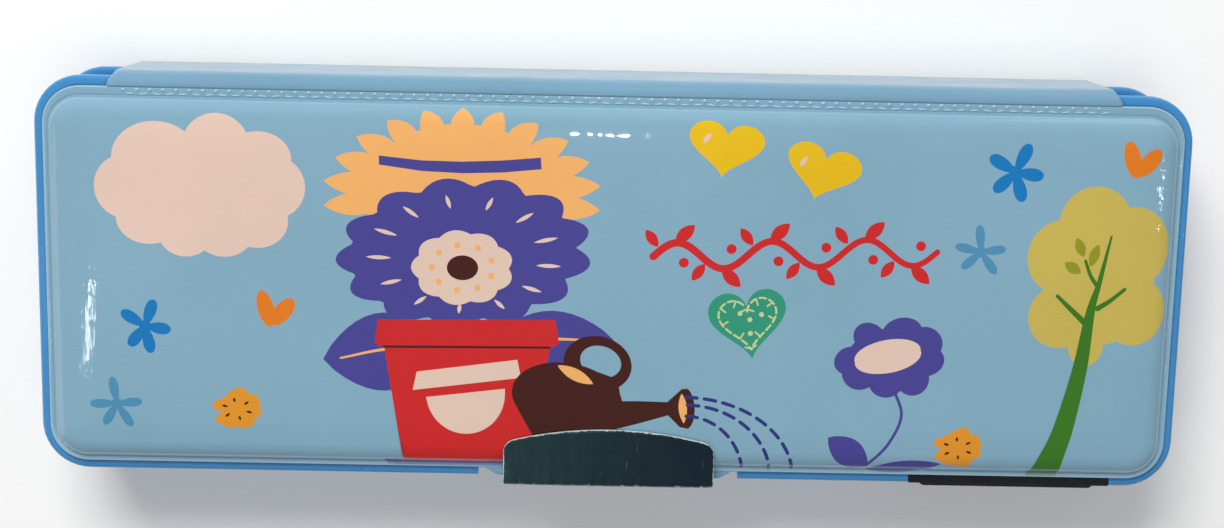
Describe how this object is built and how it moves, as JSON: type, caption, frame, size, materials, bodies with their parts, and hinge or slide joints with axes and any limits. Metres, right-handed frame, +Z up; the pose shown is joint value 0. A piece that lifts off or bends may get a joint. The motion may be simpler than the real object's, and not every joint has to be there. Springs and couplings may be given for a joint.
{
  "type": "magnetic pencil case",
  "caption": "Rectangular pencil case with a padded hinged lid, magnetic flap clasp, pull-out pencil sharpener drawer and a tilting pencil rack inside.",
  "frame": {"origin": "centre of the footprint, on the surface the case lies on", "axes": "+X along the case towards the end with the pencil rack, +Y towards the lid's hinge, +Z up through the lid; the clasp and the drawer face -Y"},
  "size_m": [0.23, 0.0824, 0.03],
  "materials": {
    "tray_plastic": "moulded polypropylene, saturated blue",
    "cover_film": "printed soft film under a clear glossy layer, light blue",
    "lining_film": "smooth lining film",
    "foam": "soft padding",
    "board": "grey board stiffener",
    "clear_film": "clear pocket film",
    "card": "printed card",
    "foil": "dark teal metallised plastic with worn edges",
    "magnet": "sintered magnet",
    "steel": "steel",
    "black_plastic": "black moulded plastic",
    "smoke_plastic": "dark smoke plastic",
    "rack_plastic": "white moulded plastic",
    "sharpener_plastic": "yellow moulded plastic"
  },
  "bodies": {
    "case": {"tray": "tray_plastic", "divider_insert": "tray_plastic", "base_skin": "cover_film", "base_foam": "foam", "base_board": "board", "spine_skin": "cover_film", "spine_board": "board", "hinge_film": "cover_film", "strike_plate": "steel", "sharpener_housing": "black_plastic", "rack_axle": "steel"},
    "lid": {"lid_skin": "cover_film", "lid_foam": "foam", "lid_board": "board", "lid_lining": "lining_film", "card_pocket": "clear_film", "timetable_card": "card", "clasp_flap": "cover_film", "clasp_magnets": "magnet", "clasp_plate": "foil"},
    "drawer": {"sharpener_drawer": "smoke_plastic", "sharpener_body": "sharpener_plastic", "sharpener_blade": "steel", "sharpener_screw": "steel"},
    "rack": {"pencil_rack": "rack_plastic"}
  },
  "joints": [
    {"name": "lid_hinge", "type": "hinge", "parent": "case", "child": "lid", "pos_m": [0, 0.0389, 0.0261], "axis": [-1, 0, 0], "range_deg": [0, 180]},
    {"name": "drawer_slide", "type": "slide", "parent": "case", "child": "drawer", "axis": [0, -1, 0], "range_m": [0, 0.021]},
    {"name": "rack_tilt", "type": "hinge", "parent": "case", "child": "rack", "pos_m": [0.1073, 0.0114, 0.0063], "axis": [0, 1, 0], "range_deg": [0, 30]}
  ]
}
